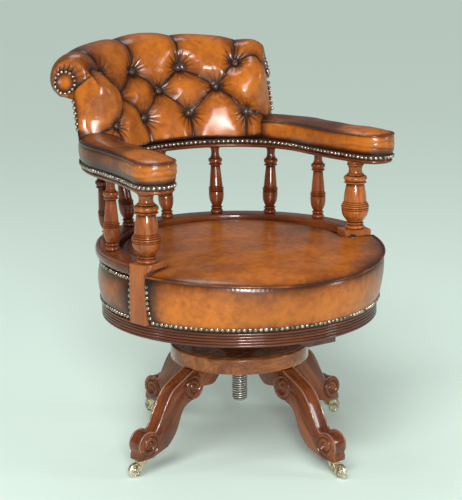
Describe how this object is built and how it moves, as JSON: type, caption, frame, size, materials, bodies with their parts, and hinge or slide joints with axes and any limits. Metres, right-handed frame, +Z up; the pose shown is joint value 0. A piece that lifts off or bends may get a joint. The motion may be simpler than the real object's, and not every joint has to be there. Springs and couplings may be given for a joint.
{
  "type": "captains chair",
  "caption": "Captain's desk chair in mahogany and tan leather: buttoned scroll-over back, horseshoe arms on turned spindles, drum seat on a height screw, scrolled legs on brass casters.",
  "frame": {"origin": "On the floor, in the middle of the length and width that the chair takes up at rest.", "axes": "+Z is up, -Y is the front that the sitter faces, and +X is on the viewer's right when the chair is seen from the front."},
  "size_m": [0.6544, 0.7674, 0.8826],
  "materials": {
    "mahogany": "polished",
    "secondary_wood": "satin",
    "leather": "glossy, antiqued",
    "webbing": "matt",
    "brass": "aged",
    "steel": "worn",
    "iron": "dark"
  },
  "bodies": {
    "base": {"leg_front_left": "mahogany", "caster_plate_front_left": "brass", "leg_front_right": "mahogany", "caster_plate_front_right": "brass", "leg_back_right": "mahogany", "caster_plate_back_right": "brass", "leg_back_left": "mahogany", "caster_plate_back_left": "brass", "base_disc": "mahogany", "screw_bush": "iron"},
    "nut": {"height_nut": "iron"},
    "seat": {"seat_iron": "iron", "height_screw": "steel", "bearer_cross": "secondary_wood", "bearer_long": "secondary_wood", "reeded_rim": "mahogany", "seat_drum": "secondary_wood", "seat_webbing": "webbing", "drum_leather": "leather", "hoop_rail": "mahogany", "post_block_left": "mahogany", "post_block_right": "mahogany", "seat_pad": "leather", "arm_bow": "mahogany", "spindle_1": "mahogany", "spindle_2": "mahogany", "spindle_3": "mahogany", "spindle_4": "mahogany", "spindle_5": "mahogany", "spindle_6": "mahogany", "spindle_7": "mahogany", "post_left": "mahogany", "post_right": "mahogany", "back_upholstery": "leather", "back_frame": "secondary_wood", "outside_back": "leather", "arm_pad_left": "leather", "arm_pad_right": "leather"},
    "caster_front_left": {"caster_horn_front_left": "brass", "caster_axle_front_left": "steel"},
    "wheel_front_left": {"caster_wheel_front_left": "brass"},
    "caster_front_right": {"caster_horn_front_right": "brass", "caster_axle_front_right": "steel"},
    "wheel_front_right": {"caster_wheel_front_right": "brass"},
    "caster_back_right": {"caster_horn_back_right": "brass", "caster_axle_back_right": "steel"},
    "wheel_back_right": {"caster_wheel_back_right": "brass"},
    "caster_back_left": {"caster_horn_back_left": "brass", "caster_axle_back_left": "steel"},
    "wheel_back_left": {"caster_wheel_back_left": "brass"}
  },
  "joints": [
    {"name": "seat_swivel", "type": "hinge", "parent": "base", "child": "nut", "pos_m": [0, -0.06505, 0.2438], "axis": [0, 0, 1], "continuous": true},
    {"name": "seat_height", "type": "slide", "parent": "nut", "child": "seat", "axis": [0, 0, 1], "range_m": [0, 0.07]},
    {"name": "caster_swivel_front_left", "type": "hinge", "parent": "base", "child": "caster_front_left", "pos_m": [-0.28251, -0.10627, 0.03], "axis": [0, 0, 1], "continuous": true},
    {"name": "wheel_roll_front_left", "type": "hinge", "parent": "caster_front_left", "child": "wheel_front_left", "pos_m": [-0.3023, -0.10916, 0.016], "axis": [0.1444, -0.9895, 0], "continuous": true},
    {"name": "caster_swivel_front_right", "type": "hinge", "parent": "base", "child": "caster_front_right", "pos_m": [0.04121, -0.34756, 0.03], "axis": [0, 0, 1], "continuous": true},
    {"name": "wheel_roll_front_right", "type": "hinge", "parent": "caster_front_right", "child": "wheel_front_right", "pos_m": [0.0441, -0.36735, 0.016], "axis": [0.9895, 0.1444, 0], "continuous": true},
    {"name": "caster_swivel_back_right", "type": "hinge", "parent": "base", "child": "caster_back_right", "pos_m": [0.28251, -0.02384, 0.03], "axis": [0, 0, 1], "continuous": true},
    {"name": "wheel_roll_back_right", "type": "hinge", "parent": "caster_back_right", "child": "wheel_back_right", "pos_m": [0.3023, -0.02095, 0.016], "axis": [-0.1444, 0.9895, 0], "continuous": true},
    {"name": "caster_swivel_back_left", "type": "hinge", "parent": "base", "child": "caster_back_left", "pos_m": [-0.04121, 0.21746, 0.03], "axis": [0, 0, 1], "continuous": true},
    {"name": "wheel_roll_back_left", "type": "hinge", "parent": "caster_back_left", "child": "wheel_back_left", "pos_m": [-0.0441, 0.23725, 0.016], "axis": [-0.9895, -0.1444, 0], "continuous": true}
  ]
}
